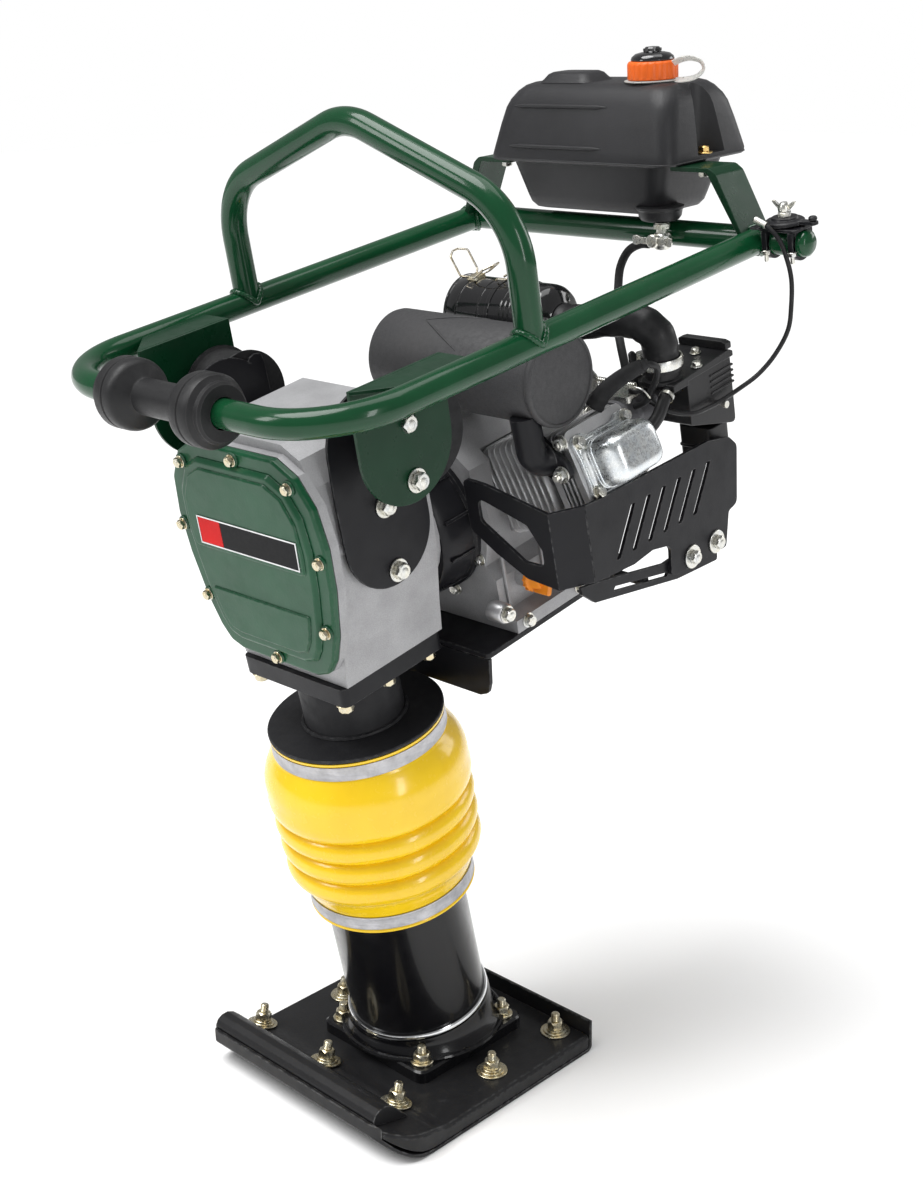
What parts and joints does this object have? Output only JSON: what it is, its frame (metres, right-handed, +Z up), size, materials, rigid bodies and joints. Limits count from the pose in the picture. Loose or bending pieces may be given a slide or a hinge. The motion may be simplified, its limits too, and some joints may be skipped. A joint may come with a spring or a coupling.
{
  "type": "jumping jack rammer",
  "caption": "Petrol jumping jack rammer: a foot on a bellowed spring leg under a crank gearbox, engine with muffler and guard, fuel tank and tube handle with lifting hoop.",
  "frame": {"origin": "centre of the underside of the foot, on the ground", "axes": "+Z up, -Y to the front where the machine leans and travels, +Y to the operator behind, +X to the right-hand side with the engine cylinder"},
  "size_m": [0.4815, 0.7095, 1.0731],
  "materials": {
    "sole_plate": "black painted pressed steel, scuffed",
    "shoe_body": "black painted steel shoe top, satin",
    "leg_flange": "gloss black painted steel",
    "leg_tube": "gloss black painted steel",
    "leg_ring": "bright plated clamp ring",
    "bellows": "glossy yellow moulded polyurethane",
    "lower_band": "brushed band clamp",
    "upper_band": "brushed band clamp",
    "spring_retainer": "plain steel",
    "guide_cylinder": "honed steel",
    "guide_flange": "matt black painted casting",
    "ram_piston": "machined steel",
    "upper_spring": "spring steel",
    "lower_spring": "spring steel",
    "gearbox_housing": "fine cast aluminium, silver painted",
    "front_cover": "green painted casting, semi gloss",
    "crank_gear": "hardened steel",
    "connecting_rod": "forged steel",
    "clutch_drum": "machined steel",
    "clutch_housing": "black painted casting",
    "right_mount_plate": "black powder coated plate",
    "left_mount_plate": "black powder coated plate",
    "right_rubber_drum": "matt black rubber",
    "left_rubber_drum": "matt black rubber",
    "right_hanger_plate": "dark green gloss paint",
    "left_hanger_plate": "dark green gloss paint",
    "engine_crankcase": "sand cast aluminium",
    "cylinder_fins": "cast aluminium fins",
    "cylinder_head": "cast aluminium",
    "valve_cover": "bright zinc plated pressing",
    "exhaust_pipe": "black heat resistant paint",
    "muffler": "matt dark grey heat resistant paint",
    "air_filter": "gloss black painted canister",
    "filter_clip": "yellow zinc plated wire",
    "intake_elbow": "smooth black rubber hose",
    "air_box": "black moulded plastic",
    "carburettor": "zinc die casting",
    "choke_lever": "black moulded plastic",
    "spark_plug_cap": "black rubber boot",
    "starter_housing": "black painted pressing",
    "starter_grip": "black moulded plastic",
    "starter_rope": "braided cord",
    "engine_guard": "satin black powder coat",
    "guard_stay": "satin black powder coat",
    "engine_base_plate": "satin black powder coat",
    "oil_dipstick": "orange moulded plastic",
    "handle_frame": "dark green gloss paint",
    "lifting_hoop": "dark green gloss paint",
    "right_tank_strap": "dark green gloss paint",
    "left_tank_strap": "dark green gloss paint",
    "fuel_tank": "dark grey moulded plastic",
    "fuel_cap": "orange moulded plastic",
    "cap_tether": "milky flexible plastic",
    "fuel_tap": "nickel plated die casting",
    "tap_lever": "nickel plated die casting",
    "fuel_hose": "smooth black rubber",
    "throttle_clamp": "black plated steel",
    "throttle_lever": "black plated steel and rubber",
    "throttle_cable": "black plastic sheath",
    "transport_roller": "dark grey moulded plastic"
  },
  "bodies": {
    "machine": {"upper_band": "upper_band", "guide_cylinder": "guide_cylinder", "guide_flange": "guide_flange", "gearbox_housing": "gearbox_housing", "front_cover": "front_cover", "clutch_housing": "clutch_housing", "right_mount_plate": "right_mount_plate", "left_mount_plate": "left_mount_plate", "right_rubber_drum": "right_rubber_drum", "left_rubber_drum": "left_rubber_drum", "right_hanger_plate": "right_hanger_plate", "left_hanger_plate": "left_hanger_plate", "engine_crankcase": "engine_crankcase", "cylinder_fins": "cylinder_fins", "cylinder_head": "cylinder_head", "valve_cover": "valve_cover", "exhaust_pipe": "exhaust_pipe", "muffler": "muffler", "air_filter": "air_filter", "intake_elbow": "intake_elbow", "air_box": "air_box", "carburettor": "carburettor", "spark_plug_cap": "spark_plug_cap", "starter_housing": "starter_housing", "engine_guard": "engine_guard", "guard_stay": "guard_stay", "engine_base_plate": "engine_base_plate", "handle_frame": "handle_frame", "lifting_hoop": "lifting_hoop", "right_tank_strap": "right_tank_strap", "left_tank_strap": "left_tank_strap", "fuel_tank": "fuel_tank", "cap_tether": "cap_tether", "fuel_tap": "fuel_tap", "fuel_hose": "fuel_hose", "throttle_clamp": "throttle_clamp", "throttle_cable": "throttle_cable"},
    "leg": {"sole_plate": "sole_plate", "shoe_body": "shoe_body", "leg_flange": "leg_flange", "leg_tube": "leg_tube", "leg_ring": "leg_ring", "lower_band": "lower_band", "bellows": "bellows", "spring_retainer": "spring_retainer", "upper_spring": "upper_spring", "lower_spring": "lower_spring"},
    "ram": {"ram_piston": "ram_piston"},
    "crank": {"crank_gear": "crank_gear"},
    "pinion": {"clutch_drum": "clutch_drum"},
    "conrod": {"connecting_rod": "connecting_rod"},
    "starter_handle": {"starter_grip": "starter_grip", "starter_rope": "starter_rope"},
    "roller": {"transport_roller": "transport_roller"},
    "throttle": {"throttle_lever": "throttle_lever"},
    "tap": {"tap_lever": "tap_lever"},
    "tank_cap": {"fuel_cap": "fuel_cap"},
    "dipstick": {"oil_dipstick": "oil_dipstick"},
    "choke": {"choke_lever": "choke_lever"},
    "clip": {"filter_clip": "filter_clip"}
  },
  "joints": [
    {"name": "leg_slide", "type": "slide", "parent": "machine", "child": "leg", "axis": [0, -0.2019, 0.9794], "range_m": [-0.03, 0.03], "stiffness_N_per_m": 60000, "springref_m": -0.009, "deforming": ["bellows", "upper_spring", "lower_spring"]},
    {"name": "ram_slide", "type": "slide", "parent": "machine", "child": "ram", "axis": [0, -0.2019, 0.9794], "range_m": [0, 0.056], "deforming": ["upper_spring", "lower_spring"]},
    {"name": "crank_spin", "type": "hinge", "parent": "machine", "child": "crank", "pos_m": [0, -0.06287, 0.68012], "axis": [0, 0.9794, 0.2019], "continuous": true},
    {"name": "pinion_spin", "type": "hinge", "parent": "machine", "child": "pinion", "pos_m": [0, -0.0453, 0.59491], "axis": [0, 0.9794, 0.2019], "continuous": true},
    {"name": "conrod_pivot", "type": "hinge", "parent": "crank", "child": "conrod", "pos_m": [0, -0.09247, 0.64542], "axis": [0, 0.9794, 0.2019], "continuous": true},
    {"name": "starter_pull", "type": "slide", "parent": "machine", "child": "starter_handle", "axis": [0, 0.9794, 0.2019], "range_m": [0, 0.5], "stiffness_N_per_m": 20, "springref_m": -0.2},
    {"name": "roller_spin", "type": "hinge", "parent": "machine", "child": "roller", "pos_m": [-0.011, -0.24188, 0.78709], "axis": [1, 0, 0], "continuous": true},
    {"name": "throttle_turn", "type": "hinge", "parent": "machine", "child": "throttle", "pos_m": [0.232, 0.34667, 0.90568], "axis": [0, -0.1623, 0.9867], "range_deg": [0, 70]},
    {"name": "tap_turn", "type": "hinge", "parent": "machine", "child": "tap", "pos_m": [0.097, 0.30496, 0.88017], "axis": [0, -0.9983, -0.0583], "range_deg": [0, 90]},
    {"name": "cap_turn", "type": "hinge", "parent": "machine", "child": "tank_cap", "pos_m": [0.062, 0.34573, 1.05684], "axis": [0, -0.0583, 0.9983], "continuous": true},
    {"name": "dipstick_turn", "type": "hinge", "parent": "machine", "child": "dipstick", "pos_m": [0.11, 0.10629, 0.56286], "axis": [1, 0, 0], "continuous": true},
    {"name": "choke_turn", "type": "hinge", "parent": "machine", "child": "choke", "pos_m": [0.172, 0.18655, 0.75298], "axis": [0, -0.2019, 0.9794], "range_deg": [0, 50]},
    {"name": "clip_turn", "type": "hinge", "parent": "machine", "child": "clip", "pos_m": [-0.03, 0.17196, 0.84851], "axis": [0, -0.9794, -0.2019], "range_deg": [0, 60]}
  ],
  "couplings": [
    {"joint": "pinion_spin", "follows": "crank_spin", "ratio": -4.8},
    {"joint": "conrod_pivot", "follows": "crank_spin", "ratio": -1}
  ]
}
